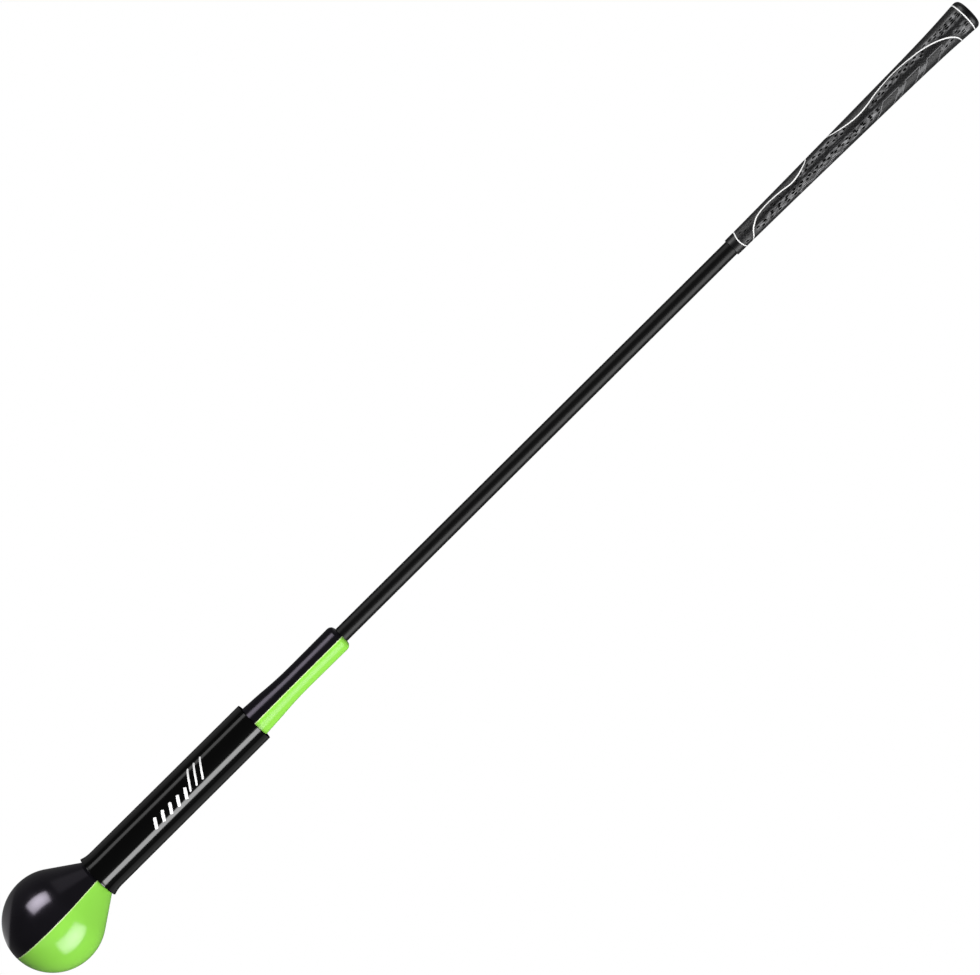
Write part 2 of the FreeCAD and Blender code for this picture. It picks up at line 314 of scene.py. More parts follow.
def clothMouldedRubber(name, dark, light, streak, bumpDepth, roughness):
    # natural rubber cured in a cloth-blasted mould: dull black with a crossed weave, paler where the weave
    # stands higher and drawn coarser than real cloth so that it shows
    values = {"weave": 1.6 * mm, "threads": 36.0, "weaveShare": 0.35, "fleck": 1.6 * mm, "streak": 4.0,
              "paintedSheen": 1.3 * mm, "paintedSheenStretch": 4.0}
    material, tree, shader = newMaterial(name)
    place = objectCoords(tree)
    parts = splitParts(tree, place)
    turn = calculate(tree, "ARCTAN2", parts[0], parts[1])
    warp = calculate(tree, "SINE", calculate(tree, "MULTIPLY", turn, values["threads"]))
    weft = calculate(tree, "SINE", calculate(tree, "MULTIPLY", parts[2], 2 * math.pi / values["weave"]))
    fleck = noise(tree, stretched(tree, place, (1, 1, 1 / values["streak"])), values["fleck"], 5.0, 0.7)
    weave = calculate(tree, "MULTIPLY", warp, weft)
    height = calculate(tree, "MULTIPLY_ADD", weave, values["weaveShare"], fleck)
    tone = mixTones(tree, remap(tree, height, 0.3, 0.8), dark, light)
    # painted sheen: pale lengthwise streaks in the colour between the perforations stand in for the
    # highlights on the raised skin there
    rows = addNode(tree, "ShaderNodeAttribute", {"attribute_name": "rows"}).outputs["Fac"]
    paintedSheen = noise(tree, stretched(tree, place, (1, 1, 1 / values["paintedSheenStretch"])), values["paintedSheen"], 3.0)
    share = calculate(tree, "MULTIPLY", rows, remap(tree, paintedSheen, 0.42, 0.7))
    setShader(tree, shader, IOR=1.5, Roughness=roughness, Base_Color=mixTones(tree, share, tone, streak),
              Normal=bumpFrom(tree, height, 0.6, bumpDepth))
    return material


def smoothRubber(name, colour, paler, roughness):
    # natural rubber from a plain satin mould: an even sheen, slightly mottled by handling; the pits, ribs and
    # bars use it for painted shade and painted highlights
    values = {"mottle": 3 * mm, "height": 0.1 * mm, "glossier": 0.06, "duller": 0.1}
    material, tree, shader = newMaterial(name)
    mottle = noise(tree, objectCoords(tree), values["mottle"], 5.0)
    low = roughness - values["glossier"]
    setShader(tree, shader, IOR=1.5, Base_Color=mixTones(tree, mottle, colour, paler),
              Roughness=remap(tree, mottle, 0.0, 1.0, low, roughness + values["duller"]),
              Normal=bumpFrom(tree, mottle, 0.1, values["height"]))
    return material


def paint(name, colour, shade, roughness):
    # rubber paint wiped into the mould's lines, or pad-printed ink: opaque, a little uneven in thickness
    values = {"patch": 2.5 * mm, "height": 0.05 * mm}
    material, tree, shader = newMaterial(name)
    patch = noise(tree, objectCoords(tree), values["patch"], 3.0)
    setShader(tree, shader, IOR=1.48, Roughness=roughness,
              Base_Color=mixTones(tree, remap(tree, patch, 0.5, 0.8), colour, shade),
              Normal=bumpFrom(tree, patch, 0.15, values["height"]))
    return material


def hiddenMetal(name, colour, shade, roughness, grain, depth):
    # castings and turned steel inside the head: sand grain on iron, a fine turned grain on steel
    material, tree, shader = newMaterial(name)
    sand = noise(tree, objectCoords(tree), grain, 6.0)
    setShader(tree, shader, Metallic=1.0, Roughness=roughness, Base_Color=mixTones(tree, sand, colour, shade),
              Normal=bumpFrom(tree, sand, 0.5, depth))
    return material


# the fifth tone of each is the painted highlight along the parting edge
blackAbs = mouldedAbs("black_abs_polished", "#0d0c0f", "#121115", "#e6daf2", "#1a181c", 0.18)
greenAbs = mouldedAbs("lime_abs_polished", "#98e254", "#90dd4b", "#f6d8ff", "#d8f6ac", 0.25)
sleevePvc = extrudedRubber("black_pvc_extruded")
rodPaint = rodLacquer("rod_black_lacquer")
# its third tone, the pale streak colour, is the painted sheen between the perforations
gripRubber = clothMouldedRubber("grip_rubber_cloth_moulded", "#040404", "#343436", "#b4b4b6", 0.3 * mm, 0.42)
# near-black pit rubber: painted shade inside the perforations
pitShadeRubber = smoothRubber("grip_pits_painted_shade", "#010101", "#030303", 1.0)
# pale grey rib rubber: a painted highlight on the raised ribs
ribHighlightRubber = smoothRubber("grip_ribs_painted_highlight", "#8c8c8e", "#aaaaac", 0.34)
# mid-grey bar rubber: a painted sheen on the slanted bars and fine lines
barSheenRubber = smoothRubber("grip_bars_painted_sheen", "#4a4a4c", "#6e6e70", 0.3)
plainRubber = smoothRubber("grip_rubber_plain", "#101011", "#1a1a1b", 0.38)
linePaint = paint("grip_white_line_paint", "#fbfbfa", "#f0f0ee", 0.45)
printInk = paint("sleeve_print_ink", "#f2f2f2", "#dcdcdc", 0.4)
castIron = hiddenMetal("weight_iron_as_cast", "#4a4a4c", "#333335", 0.6, 0.9 * mm, 0.15 * mm)
turnedSteel = hiddenMetal("pin_steel_ground", "#b9b9bc", "#a5a5a8", 0.3, 0.4 * mm, 0.02 * mm)
crepeTape = paint("grip_tape_crepe_paper", "#d9d2bf", "#c9c1ab", 0.85)
print("materials ready")


# head shells: two halves of a turned bulb and neck, parted on the plane x = 0
headShell = {
    "bulbRadius": greenHigh.y,
    "poleZ": greenLow.z,
    "bulbDrop": 40.0 * mm,
    "coneAngle": 34.5,
    "neckRadius": 13.4 * mm,
    "straightTo": 249 * mm,
    "boreFrom": 80 * mm,
    "waist": [(250.0, 13.4), (270.0, 12.25), (283.0, 11.3), (297.0, 10.8), (320.0, 10.85), (341.9, 11.0)],
    "mouthRound": 4.5 * mm,
    "mouthRadius": 6.5 * mm,
    "wall": 2.6 * mm,
    "columns": 72,
}


def shellOutline(values):
    # outside of bulb and neck as (radius, z), from the pole to the neck's mouth
    radius = values["bulbRadius"]
    pole = values["poleZ"]
    centre = pole + values["bulbDrop"]
    quarter = [math.radians(a) for a in range(-90, 0, 3)]
    line = [(radius * math.cos(a), centre + values["bulbDrop"] * math.sin(a)) for a in quarter]
    line += roundCorner((0, centre), radius, 0, values["coneAngle"], 14)
    startRadius, startZ = line[-1]
    slope = math.tan(math.radians(values["coneAngle"]))
    neckZ = startZ + (startRadius - values["neckRadius"]) / slope
    for i in range(1, 9):
        share = i / 8
        r = startRadius + (values["neckRadius"] - startRadius) * share
        line.append((r, startZ + (neckZ - startZ) * share))
    straight = pole + values["straightTo"] - neckZ
    line += [(values["neckRadius"], neckZ + straight * i / 20) for i in range(1, 20)]
    line += [(r * mm, pole + h * mm) for h, r in smoothThrough(values["waist"], 6)]
    corner = (line[-1][0] - values["mouthRound"], greenHigh.z - values["mouthRound"])
    return line[:-1] + roundCorner(corner, values["mouthRound"], 0, 90, 8)


def innerLine(outline, wall, leastRadius, boreFrom):
    # the shell's inside: the outline set in by the wall, but above boreFrom never inside the rod's hole
    made = []
    for i, (r, z) in enumerate(outline):
        before = outline[max(i - 1, 0)]
        after = outline[min(i + 1, len(outline) - 1)]
        run = Vector((after[0] - before[0], after[1] - before[1])).normalized()
        inner = r - wall * run.y
        if z > outline[0][1] + boreFrom:
            inner = max(inner, leastRadius)
        made.append((max(inner, 0.0), z + wall * run.x if i else z + wall))
    made[-1] = (leastRadius, outline[-1][1])
    return made


def shellHalf(name, side, seamRound, seamDepth, material):
    # the outer edge along the parting line is rounded, seamRound wide and seamDepth deep
    values = headShell
    outer = shellOutline(values)
    inner = innerLine(outer, values["wall"], values["mouthRadius"], values["boreFrom"])
    columns = [("edge", k / 4 * 90) for k in range(4)]
    columns += [("face", k) for k in range(values["columns"] + 1)]
    columns += [("edge", k / 4 * 90) for k in (3, 2, 1, 0)]
    half = len(columns) // 2

    def place(r, z, index, rounded):
        form, value = columns[index]
        if form == "face":
            low = math.acos(min(1.0, seamRound / max(r, 1e-9)))
            angle = -low + 2 * low * value / values["columns"]
            return (side * r * math.cos(angle), r * math.sin(angle), z)
        turn = math.radians(value)
        x = min(seamRound * math.sin(turn), r)
        drop = seamDepth * (1 - math.sqrt(max(0.0, 1 - (1 - math.sin(turn)) ** 2))) if rounded else 0.0
        around = math.sqrt(max((r - drop) ** 2 - x * x, 0.0))
        return (side * x, around if index > half else -around, z)

    points = []
    for index in range(len(columns)):
        points += [place(r, z, index, True) for r, z in outer]
        points += [place(r, z, index, False) for r, z in inner]
    count = len(outer)
    step = 2 * count
    faces = []
    for c in range(len(columns) - 1):
        a = c * step
        b = (c + 1) * step
        for i in range(count - 1):
            faces.append((a + i, b + i, b + i + 1, a + i + 1))
            faces.append((a + count + i, a + count + i + 1, b + count + i + 1, b + count + i))
        faces.append((a + count - 1, b + count - 1, b + step - 1, a + step - 1))
    for c in (0, len(columns) - 1):
        a = c * step
        for i in range(count - 1):
            faces.append((a + i, a + i + 1, a + count + i + 1, a + count + i))
    return newPiece(name, points, faces, material, 50)


greenHalf = shellHalf("shell_green_half", 1, 1.1 * mm, 0.45 * mm, greenAbs)
blackHalf = shellHalf("shell_black_half", -1, 0.2 * mm, 0.2 * mm, blackAbs)
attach(greenHalf, "head")
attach(blackHalf, "head")
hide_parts("head_shell_green")
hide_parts("head_shell_black")
print("head shells made")


# neck sleeve: a soft tube with a flared lip, coned inside its mouth
sleeve = {
    "radius": 17.2 * mm,
    "topRadius": 17.0 * mm,
    "lipHeight": 9.0 * mm,
    "flarePower": 2.2,
    "bore": 13.45 * mm,
    "edge": 0.35 * mm,
    "mouthAtCone": 16.0 * mm,
    "coneDepth": 4.5 * mm,
    "segments": 128,
}


def sleeveOutline(values):
    low = sleeveLow.z
    high = sleeveHigh.z
    lip = sleeveHigh.x
    edge = values["edge"]
    line = roundCorner((lip - edge, low + edge), edge, -90, 10, 5)
    for i in range(1, 13):
        share = i / 12
        flare = (1 - share) ** values["flarePower"]
        r = values["radius"] + (lip - values["radius"]) * flare
        line.append((r, low + edge + values["lipHeight"] * share))
    start = low + edge + values["lipHeight"]
    for i in range(1, 16):
        share = i / 16
        r = values["radius"] + (values["topRadius"] - values["radius"]) * share
        line.append((r, start + (high - start) * share))
    line += roundCorner((values["topRadius"] - edge, high - edge), edge, 0, 90, 4)
    line += roundCorner((values["bore"] + edge, high - edge), edge, 90, 180, 3)
    line.append((values["bore"], low + values["coneDepth"]))
    line.append((values["mouthAtCone"], low))
    return line


neckSleeve = turned("sleeve", sleeveOutline(sleeve), sleeve["segments"], sleevePvc)
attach(neckSleeve, "head")
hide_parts("neck_sleeve")
print("neck sleeve made")


# rod: one smooth skin over the sections, cut between the bends
rodSkin = {"segments": 48, "ringEvery": 4.0 * mm, "blendReach": 0.48}


def rodPiece(name, lowZ, highZ):
    count = max(2, round((highZ - lowZ) / rodSkin["ringEvery"]))
    heights = [lowZ + (highZ - lowZ) * i / count for i in range(count + 1)]
    outline = [(0.0, lowZ)] + [(rodRadius, z) for z in heights] + [(0.0, highZ)]
    piece = turned(name, outline, rodSkin["segments"], rodPaint, closed=False)
    layer = piece.data.uv_layers.new(name="around")
    for polygon in piece.data.polygons:
        middle = math.atan2(polygon.center.x, -polygon.center.y)
        for loop in polygon.loop_indices:
            p = piece.data.vertices[piece.data.loops[loop].vertex_index].co
            turn = math.atan2(p.x, -p.y)
            if turn - middle > math.pi:
                turn -= 2 * math.pi
            if middle - turn > math.pi:
                turn += 2 * math.pi
            layer.data[loop].uv = (turn / (2 * math.pi), p.z)
    return piece


bendZ = [j["pos_m"][2] for j in flexJoints]
cuts = [buttHigh.z] + [(a + b) / 2 for a, b in zip(bendZ, bendZ[1:])] + [tipLow.z]
rodNodes = [["shaft_butt_section"], ["shaft_upper_section"], ["shaft_middle_section"]]
rodNodes.append(["shaft_lower_section", "shaft_tip_section"])
for number, joint in enumerate(flexJoints):
    piece = rodPiece("rod_" + str(number + 1), cuts[number + 1], cuts[number])
    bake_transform(piece)
    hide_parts(*rodNodes[number])
print("rod skin made")


# grip: a tapered skin, its outline in millimetres above the mouth and millimetres of radius
grip = {
    "outline": [(0, 7.3), (50, 7.85), (100, 8.6), (150, 9.45), (190, 10.15), (222, 11.15), (247.8, 12.7)],
    "length": gripHigh.z - gripLow.z,
    "bore": 6.55 * mm,
    "lipBore": 6.4 * mm,
    "lipEdge": 0.35 * mm,
    "segments": 112,
    "ringEvery": 1.4 * mm,
    "lipHeight": 2 * mm,
}
gripCurve = [(s * mm, r * mm) for s, r in smoothThrough(grip["outline"], 24)]


def gripPoint(s, angle, lift=0.0):
    # a point on the grip's skin, s above its mouth, at an angle in degrees from the side that faces -Y
    return ringPoint(valueAt(gripCurve, s) + lift, mouthZ + s, math.radians(angle))


def gripSkin():
    values = grip
    length = values["length"]
    edge = values["lipEdge"]
    count = round(length / values["ringEvery"])
    start = valueAt(gripCurve, edge)
    line = roundCorner((start - edge, mouthZ + edge), edge, -90, 0, 4)
    heights = [length * i / count for i in range(1, count + 1)]
    line += [(valueAt(gripCurve, s), mouthZ + s) for s in heights]
    line.append((values["bore"], mouthZ + length))
    line.append((values["bore"], mouthZ + values["lipHeight"]))
    line.append((values["lipBore"], mouthZ + values["lipHeight"]))
    line.append((values["lipBore"], mouthZ))
    return turned("grip_skin", line, values["segments"], gripRubber)


def roundedBlock(tree, place, roundness):
    # a square block's corner points drawn in towards a disc, by the share given
    parts = splitParts(tree, place)
    drawn = []
    for own, other in ((0, 1), (1, 0)):
        square = calculate(tree, "MULTIPLY", parts[other], parts[other])
        disc = calculate(tree, "POWER", calculate(tree, "MULTIPLY_ADD", square, -2.0, 1.0), 0.5)
        share = calculate(tree, "MULTIPLY_ADD", calculate(tree, "SUBTRACT", disc, 1.0), roundness, 1.0)
        drawn.append(calculate(tree, "MULTIPLY", parts[own], share))
    whole = {"X": drawn[0], "Y": drawn[1], "Z": parts[2]}
    return addNode(tree, "ShaderNodeCombineXYZ", None, whole).outputs[0]


def markTree():
    # marks of one shape, spaced along guide lines and wrapped on a surface round the Z axis
    tree = bpy.data.node_groups.new("marksOnSurface", "GeometryNodeTree")
    face = tree.interface
    face.new_socket(name="Guides", in_out="INPUT", socket_type="NodeSocketGeometry")
    face.new_socket(name="Surface", in_out="INPUT", socket_type="NodeSocketObject")
    for name in ("Pitch", "Length", "Width", "Height", "Turn", "Roundness"):
        face.new_socket(name=name, in_out="INPUT", socket_type="NodeSocketFloat")
    face.new_socket(name="Material", in_out="INPUT", socket_type="NodeSocketMaterial")
    face.new_socket(name="Marks", in_out="OUTPUT", socket_type="NodeSocketGeometry")
    given = addNode(tree, "NodeGroupInput").outputs
    lines = addNode(tree, "GeometryNodeMeshToCurve", None, {"Mesh": given["Guides"]})
    spacing = {0: lines.outputs[0], "Length": given["Pitch"]}
    spots = addNode(tree, "GeometryNodeCurveToPoints", {"mode": "LENGTH"}, spacing)
    place = addNode(tree, "GeometryNodeInputPosition").outputs[0]
    outward = calculateVector(tree, "NORMALIZE", calculateVector(tree, "MULTIPLY", place, (1, 1, 0)))
    faceOut = addNode(tree, "FunctionNodeAlignRotationToVector", {"axis": "Z"}, {"Vector": outward})
    alongLine = addNode(tree, "FunctionNodeAlignRotationToVector", {"axis": "X", "pivot_axis": "Z"})
    tree.links.new(faceOut.outputs[0], alongLine.inputs["Rotation"])
    tree.links.new(spots.outputs["Tangent"], alongLine.inputs["Vector"])
    spin = addNode(tree, "ShaderNodeCombineXYZ", None, {"Z": given["Turn"]})
    turns = {0: alongLine.outputs[0], 1: spin.outputs[0]}
    turnedMark = addNode(tree, "FunctionNodeRotateRotation", {"rotation_space": "LOCAL"}, turns)
    block = addNode(tree, "GeometryNodeMeshCube", None, {"Vertices X": 7, "Vertices Y": 3, "Vertices Z": 2})
    shape = addNode(tree, "GeometryNodeSetPosition", None, {"Geometry": block.outputs["Mesh"]})
    tree.links.new(roundedBlock(tree, place, given["Roundness"]), shape.inputs["Position"])
    keep = addNode(tree, "GeometryNodeCaptureAttribute", None, {"Geometry": shape.outputs["Geometry"]})
    keep.capture_items.new("FLOAT", "level")
    tree.links.new(splitParts(tree, place)["Z"], keep.inputs["level"])
    sides = {"X": given["Length"], "Y": given["Width"], "Z": given["Height"]}
    size = addNode(tree, "ShaderNodeCombineXYZ", None, sides)
    copies = addNode(tree, "GeometryNodeInstanceOnPoints", None, {"Points": spots.outputs["Points"]})
    tree.links.new(keep.outputs["Geometry"], copies.inputs["Instance"])
    tree.links.new(turnedMark.outputs[0], copies.inputs["Rotation"])
    tree.links.new(size.outputs[0], copies.inputs["Scale"])
    real = addNode(tree, "GeometryNodeRealizeInstances", None, {0: copies.outputs[0]})
    # every corner is dropped on the surface from outside, then raised by its own level in the mark
    outside = calculateVector(tree, "ADD", place, scaled(tree, outward, 50 * mm))
    target = addNode(tree, "GeometryNodeObjectInfo", None, {"Object": given["Surface"]})
    ray = addNode(tree, "GeometryNodeRaycast", None, {"Target Geometry": target.outputs["Geometry"]})
    ray.inputs["Ray Length"].default_value = 200 * mm
    tree.links.new(outside, ray.inputs["Source Position"])
    tree.links.new(scaled(tree, outward, -1.0), ray.inputs["Ray Direction"])
    rise = calculate(tree, "MULTIPLY", keep.outputs["level"], given["Height"])
    wrapped = calculateVector(tree, "ADD", ray.outputs["Hit Position"], scaled(tree, outward, rise))
    moved = addNode(tree, "GeometryNodeSetPosition", None, {"Geometry": real.outputs[0], "Position": wrapped})
    painted = {"Geometry": moved.outputs[0], "Material": given["Material"]}
    done = addNode(tree, "GeometryNodeSetMaterial", None, painted)
    addNode(tree, "NodeGroupOutput", None, {0: done.outputs[0]})
    return tree


marksOnSurface = markTree()


def wrapMarks(name, guides, surface, sizes, material):
    # guides are lists of points; the result is a plain mesh
    points = [p for guide in guides for p in guide]
    edges = []
    start = 0
    for guide in guides:
        edges += [(start + i, start + i + 1) for i in range(len(guide) - 1)]
        start += len(guide)
    mesh = bpy.data.meshes.new(name + "_guide")
    mesh.from_pydata(points, edges, [])
    guideObject = bpy.data.objects.new(name + "_guide", mesh)
    scene.collection.objects.link(guideObject)
    modifier = guideObject.modifiers.new("marks", "NODES")
    modifier.node_group = marksOnSurface
    sockets = {s.name: s.identifier for s in marksOnSurface.interface.items_tree if s.in_out == "INPUT"}
    modifier[sockets["Surface"]] = surface
    modifier[sockets["Material"]] = material
    for key, value in sizes.items():
        modifier[sockets[key]] = value
    view = bpy.context.evaluated_depsgraph_get()
    result = bpy.data.meshes.new_from_object(guideObject.evaluated_get(view))
    bpy.data.objects.remove(guideObject)
    result.name = name
    return linkPiece(name, result, None)


# a ribbon's cut end: shares of its width across, and of its lift up
ribbonSection = [(-0.5, -0.25), (-0.38, 1.0), (0.38, 1.0), (0.5, -0.25), (0.5, -2.0), (-0.5, -2.0)]


def ribbon(paths, width, lift, closed):
    # raised lines that follow the grip's skin; each path is (mm above the mouth, degrees) points
    points, faces = [], []
    for path in paths:
        base = len(points)
        count = len(path)
        for i, (s, angle) in enumerate(path):
            before = path[i - 1] if closed or i else path[i]
            after = path[(i + 1) % count] if closed or i < count - 1 else path[i]
            radius = valueAt(gripCurve, s * mm) / mm
            sweep = (after[1] - before[1] + 180) % 360 - 180
            run = Vector((after[0] - before[0], math.radians(sweep) * radius)).normalized()
            for offset, level in ribbonSection:
                across = offset * width
                turn = math.degrees(across * run.x / radius)
                points.append(gripPoint((s - across * run.y) * mm, angle + turn, lift * level * mm))
        sides = len(ribbonSection)
        for i in range(count if closed else count - 1):
            a = base + i * sides
            b = base + (i + 1) % count * sides
            for k in range(sides):
                faces.append((a + k, b + k, b + (k + 1) % sides, a + (k + 1) % sides))
        if not closed:
            faces.append(tuple(base + k for k in range(sides)))
            faces.append(tuple(base + (count - 1) * sides + k for k in range(sides)))
    return points, faces


gripBody = gripSkin()

perforations = {"Pitch": 7.4 * mm, "Length": 3.3 * mm, "Width": 1.5 * mm, "Height": 1.0 * mm,
                "Roundness": 1.0}
closePerforations = dict(perforations, Pitch=5.3 * mm, Length=3.6 * mm, Width=1.2 * mm)
# rows as lines of (mm above the mouth, degrees); True sets a row back by half a pitch
perforationRows = [
    (False, [(25, 19), (60, 20), (100, 22), (151, 24)]),
    (True, [(25, 35), (60, 35), (63, 35)]),
    (True, [(113, 35), (151, 36)]),
    (True, [(37, 9), (60, 10), (100, 13), (151, 15)]),
    (False, [(76, -26), (90, -38), (106, -40), (115, -36), (123, -29)]),
    (True, [(76, -17), (90, -26), (106, -27), (119, -20)]),
    (False, [(153, -24), (164, -31), (179, -35), (195, -32), (206, -24)]),
    (True, [(150, -14), (164, -20), (179, -25), (195, -22), (203, -16)]),
    (False, [(12, 36), (15, 38)]),
]
faintPerforations = dict(perforations, Length=2.6 * mm, Width=0.8 * mm)
faintRows = [
    (False, [(27, -13), (36, -19), (50, -20), (62, -15), (70, -14)]),
    (True, [(34, -6), (50, -8), (68, -4)]),
    (False, [(12, -34), (24, -36)]),
    (True, [(12, -20), (22, -20)]),
]
closeRows = [
    (False, [(210, -38), (225, -36), (244, -36)]),
    (False, [(220, -28), (244, -28)]),
    (False, [(226, -19), (244, -21)]),
    (False, [(234, 13), (244, 13)]),
    (False, [(236, 22), (244, 22)]),
    (False, [(239, 30), (244, 30)]),
    (False, [(239, 39), (244, 39)]),
    (False, [(216, 34), (228, 27)]),
]


def bothSides(rows):
    # the same rows again on the far side of the grip
    return rows + [(back, [(s, 180 - a) for s, a in row]) for back, row in rows]


def rowGuides(rows, pitch):
    guides = []
    for back, row in bothSides(rows):
        line = smoothThrough(row, 12)
        start = line[0][0] + (pitch / mm / 2 if back else 0)
        guides.append([gripPoint(s * mm, a) for s, a in line if s >= start])
    return guides


pits = wrapMarks("grip_pits", rowGuides(perforationRows, perforations["Pitch"]), gripBody,
                 perforations, pitShadeRubber)
closePits = wrapMarks("grip_close_pits", rowGuides(closeRows, closePerforations["Pitch"]), gripBody,
                      closePerforations, pitShadeRubber)
faintPits = wrapMarks("grip_faint_pits", rowGuides(faintRows, faintPerforations["Pitch"]), gripBody,
                      faintPerforations, pitShadeRubber)
cutters = (pits, closePits, faintPits)
print("perforations", sum(len(cutter.data.polygons) for cutter in cutters), "faces")

# the perforations' walls take the cutters' near-black: painted shade in the recesses
for cutter in cutters:
    cut = gripBody.modifiers.new("pits", "BOOLEAN")
    cut.operation = "DIFFERENCE"
    cut.object = cutter
    cut.solver = "MANIFOLD"
    cut.material_mode = "TRANSFER"
pitted = bpy.data.meshes.new_from_object(gripBody.evaluated_get(bpy.context.evaluated_depsgraph_get()))
for old in (gripBody,) + cutters:
    bpy.data.objects.remove(old)
gripBody = linkPiece("grip_skin", pitted, None)


def markRowZones(mesh, rows, reach, fade):
    # how far into a perforated zone each point of the skin lies, from 0 to 1
    lines = [smoothThrough(row, 12) for back, row in bothSides(rows)]
    zone = mesh.attributes.new("rows", "FLOAT", "POINT")
    values = []
    for vertex in mesh.vertices:
        s = (vertex.co.z - mouthZ) / mm
        angle = math.degrees(math.atan2(vertex.co.x, -vertex.co.y))
        best = 0.0
        for line in lines:
            if line[0][0] - 3 < s < line[-1][0] + 3:
                off = abs((angle - valueAt(line, s) + 180) % 360 - 180)
                ends = min(1.0, (s - line[0][0] + 3) / 3, (line[-1][0] + 3 - s) / 3)
                best = max(best, ends * min(1.0, max(0.0, 1 - (off - reach) / fade)))
        values.append(best)
    zone.data.foreach_set("value", values)


# this zone places the pale painted sheen streaks in the grip's colour
markRowZones(gripBody.data, perforationRows + closeRows, 6.0, 6.0)
print("grip skin", len(gripBody.data.polygons), "faces")
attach(gripBody, "grip")
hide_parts("grip_body")

# the long painted line: down the near side, then back up the far side, as one loop
frontLine = [
    (15.9, 85), (20.4, 16), (25.5, -14), (30.6, -32), (38, -41), (46, -42), (56, -35), (65.5, -24.5),
    (73, -30), (79, -42), (84.8, -62), (89, -95), (98, -112), (108, -95), (113.8, -63), (122.6, -42),
    (131, -31), (140, -28), (149, -33.5), (158, -44), (169, -52), (178.3, -55), (188, -51),
    (197, -42.5), (205.5, -34), (214.5, -20), (221, -7), (226.6, 8), (229.7, 20), (232.7, 41),
    (234.2, 85),
]
backLine = [
    (231, 140), (225, 172), (214, 196), (200, 218), (184, 230), (165, 224), (146, 208), (132, 208),
    (118, 226), (98, 246), (82, 226), (70, 207), (58, 210), (44, 222), (32, 212), (24, 186), (18, 140),
]
paintedLines = {"width": 1.0, "lift": 0.07}
mouthRing = {"middle": 9.2, "dip": 2.2}  # the ring dips towards the mouth on the near and far sides
buttRing = {"middle": 247.2, "dip": 0.0}


def paintedLoop():
    loop = frontLine + backLine
    made = smoothThrough([loop[-1]] + loop + loop[:2], 10)
    return made[10:-11]


def paintedRing(values):
    return [(values["middle"] - values["dip"] * math.cos(math.radians(a)) ** 2, a) for a in range(0, 360, 4)]


width, lift = paintedLines["width"], paintedLines["lift"]
loopPoints, loopFaces = ribbon([paintedLoop()], width, lift, True)
ringPoints, ringFaces = ribbon([paintedRing(mouthRing), paintedRing(buttRing)], width, lift, True)
shift = len(loopPoints)
gripLines = newPiece("grip_painted_lines", loopPoints + ringPoints,
                     loopFaces + [tuple(i + shift for i in f) for f in ringFaces], linePaint)
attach(gripLines, "grip")

# raised ribs of the grip as (mm, degrees) paths: slant-ended frames, a doubled wave and finer straight lines
ribSize = {"width": 0.62, "lift": 0.22, "stepsPerRun": 8}
frames = {"runs": [(157.4, 174.8), (181.7, 196.8), (204.5, 220.3)], "top": 11.0, "bottom": 72.0,
          "slant": 12.5}
wave = {"from": 66.0, "to": 112.0, "period": 15.5, "crestAt": 88.5, "middle": 38.0, "swing": 7.0,
        "offsets": (0.0, 9.0), "steps": 60}
fineSize = {"width": 0.42, "lift": 0.14}
fineLines = [[(104, 3), (116, 3)], [(104, -6), (116, -6)], [(122, 4), (150, 6), (172, 5)],
             [(150, 11), (156, 11)]]


def waveAngle(s, values):
    phase = 2 * math.pi * (s - values["crestAt"]) / values["period"]
    return values["middle"] - values["swing"] * math.cos(phase)


def straightPath(path):
    steps = ribSize["stepsPerRun"]
    made = []
    for (sa, a), (sb, b) in zip(path, path[1:]):
        made += [(sa + (sb - sa) * i / steps, a + (b - a) * i / steps) for i in range(steps)]
    return made + [path[-1]]


def ribPaths():
    paths = []
    top, bottom, slant = frames["top"], frames["bottom"], frames["slant"]
    for low, high in frames["runs"]:
        paths.append(straightPath([(low - slant, bottom), (low, top), (high, top)]))
        paths[-1] += straightPath([(high, top), (high - slant, bottom)])[1:]
    steps = wave["steps"]
    heights = [wave["from"] + (wave["to"] - wave["from"]) * i / steps for i in range(steps + 1)]
    for offset in wave["offsets"]:
        paths.append([(s, waveAngle(s, wave) + offset) for s in heights])
    return paths


def finePaths():
    return [straightPath(line) for line in fineLines]


def nearAndFar(paths):
    return paths + [[(s, 180 - a) for s, a in path] for path in paths]


# the ribs' pale grey and the fine lines' mid grey are painted highlights on raised rubber
gripRibs = []
for name, paths, size, rubber in (("grip_ribs", ribPaths(), ribSize, ribHighlightRubber),
                                  ("grip_fine_lines", finePaths(), fineSize, barSheenRubber)):
    ribPoints, ribFaces = ribbon(nearAndFar(paths), size["width"], size["lift"], False)
    ribs = newPiece(name, ribPoints, ribFaces, rubber)
    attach(ribs, "grip")
    gripRibs.append(ribs)

# the bars' mid grey is a painted sheen on them
bars = {"Pitch": 2.7 * mm, "Length": 10.0 * mm, "Width": 1.2 * mm, "Height": 0.6 * mm, "Turn": 0.46,
        "Roundness": 0.5}
barRuns = [(171.2, 176.9), (193.9, 199.5), (216.5, 219.5)]
barAngle = 30.0


def barGuides(near):
    return [[gripPoint(s * mm, barAngle if near else 180 - barAngle) for s in run] for run in barRuns]


gripBars = wrapMarks("grip_bars", barGuides(True), gripBody, bars, barSheenRubber)
farBars = wrapMarks("grip_far_bars", barGuides(False), gripBody, dict(bars, Turn=-bars["Turn"]), barSheenRubber)
for piece in (gripBars, farBars):
    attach(piece, "grip")
print("grip lines, ribs and bars made")


# end cap, with its vent hole
endCap = {"radius": 12.78 * mm, "edge": 3.8 * mm, "lowEdge": 0.5 * mm, "vent": 1.6 * mm, "ventEdge": 0.4 * mm,
          "ring": 6.2 * mm, "groove": 0.5 * mm, "play": 0.02 * mm, "segments": 112}


